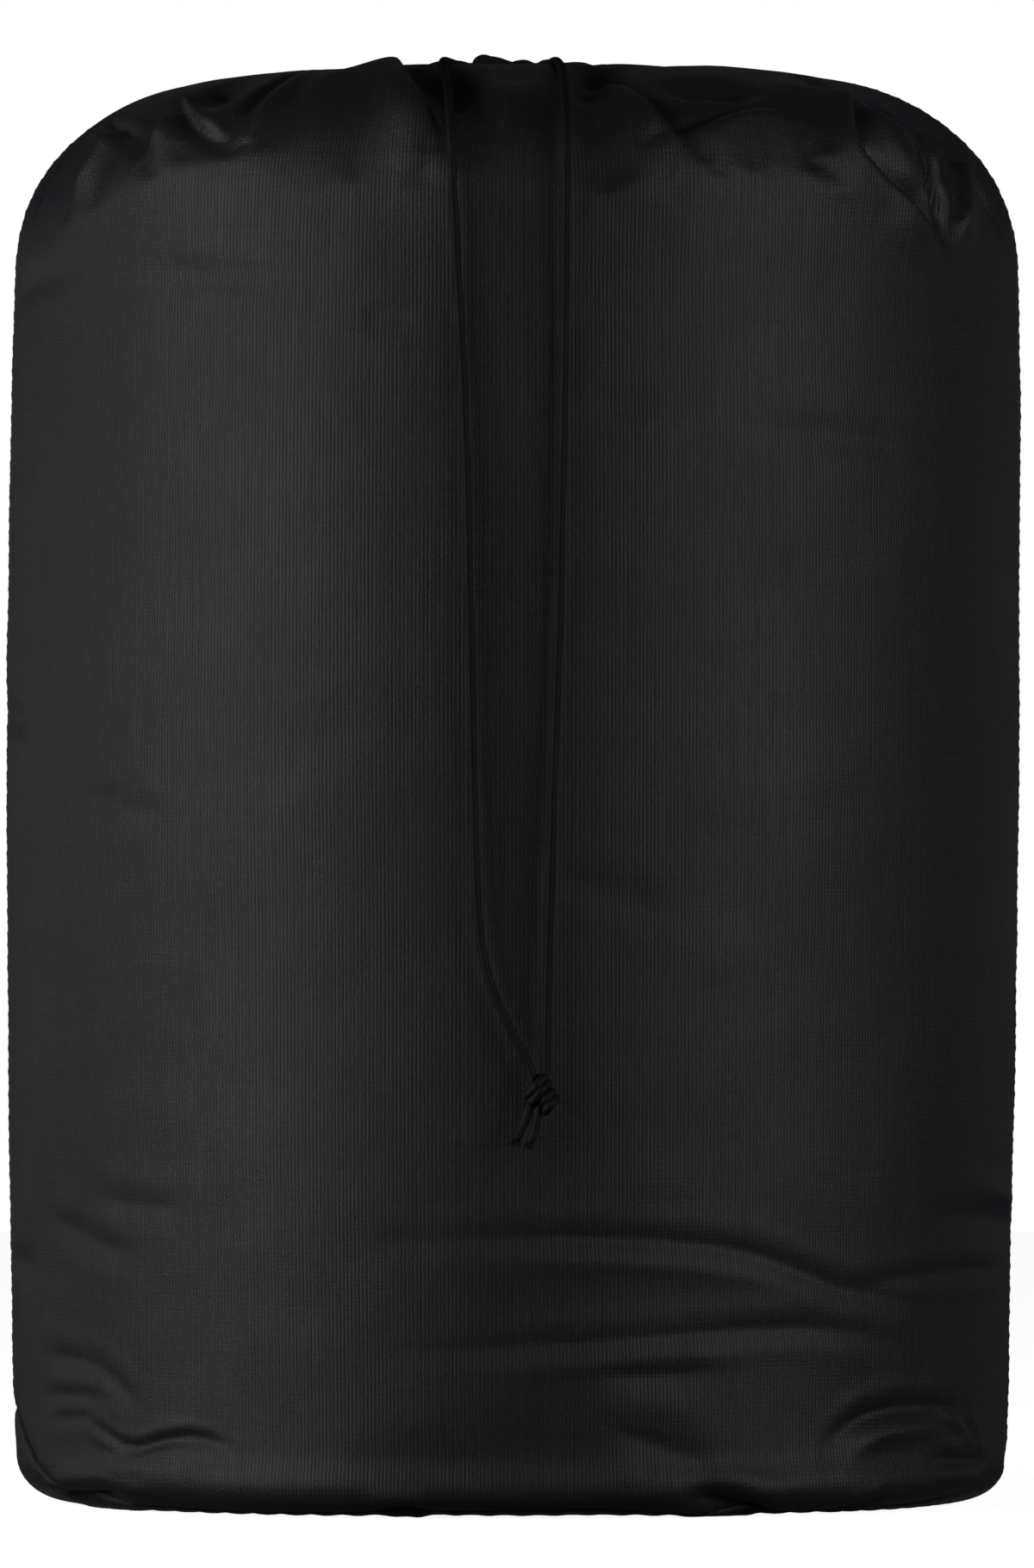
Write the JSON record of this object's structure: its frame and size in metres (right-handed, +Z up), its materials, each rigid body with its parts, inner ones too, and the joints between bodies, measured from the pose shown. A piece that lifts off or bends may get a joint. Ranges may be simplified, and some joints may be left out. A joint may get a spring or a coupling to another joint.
{
  "type": "drawcord stuff sack",
  "caption": "Tall round drawcord stuff sack of thin woven fabric, standing packed full, with its mouth gathered on top and its cord hanging down the front in a knot.",
  "frame": {"origin": "centre of the round base, on the surface that the sack stands on", "axes": "+Z up along the sack, -Y to the front where the cord hangs, +X to the right seen from the front"},
  "size_m": [0.286, 0.294, 0.4018],
  "materials": {
    "body_fabric": "thin woven nylon, satin sheen",
    "base_fabric": "thin woven nylon, satin sheen",
    "channel_fabric": "thin woven nylon, satin sheen",
    "seam_tape": "matt woven tape",
    "sewing_thread": "polyester thread, slight sheen",
    "buttonhole_thread": "polyester thread, slight sheen",
    "cord": "braided, matt"
  },
  "bodies": {
    "sack": {"front_panel": "body_fabric", "back_panel": "body_fabric", "front_gathers": "body_fabric", "back_gathers": "body_fabric", "side_seam_left": "body_fabric", "side_seam_right": "body_fabric", "base_panel": "base_fabric", "drawcord_channel": "channel_fabric", "base_seam_tape": "seam_tape", "base_seam_thread": "sewing_thread", "channel_thread": "sewing_thread", "side_seam_thread_left": "sewing_thread", "side_seam_thread_right": "sewing_thread", "buttonholes": "buttonhole_thread", "drawcord_in_channel": "cord", "drawcord_left_top": "cord", "drawcord_right_top": "cord"},
    "drawcord": {"drawcord_left_strand": "cord", "drawcord_right_strand": "cord", "drawcord_knot": "cord", "drawcord_left_tail": "cord", "drawcord_right_tail": "cord"}
  },
  "joints": [
    {"name": "drawcord_pull", "type": "slide", "parent": "sack", "child": "drawcord", "axis": [0, 0, -1], "range_m": [0, 0.025]}
  ]
}
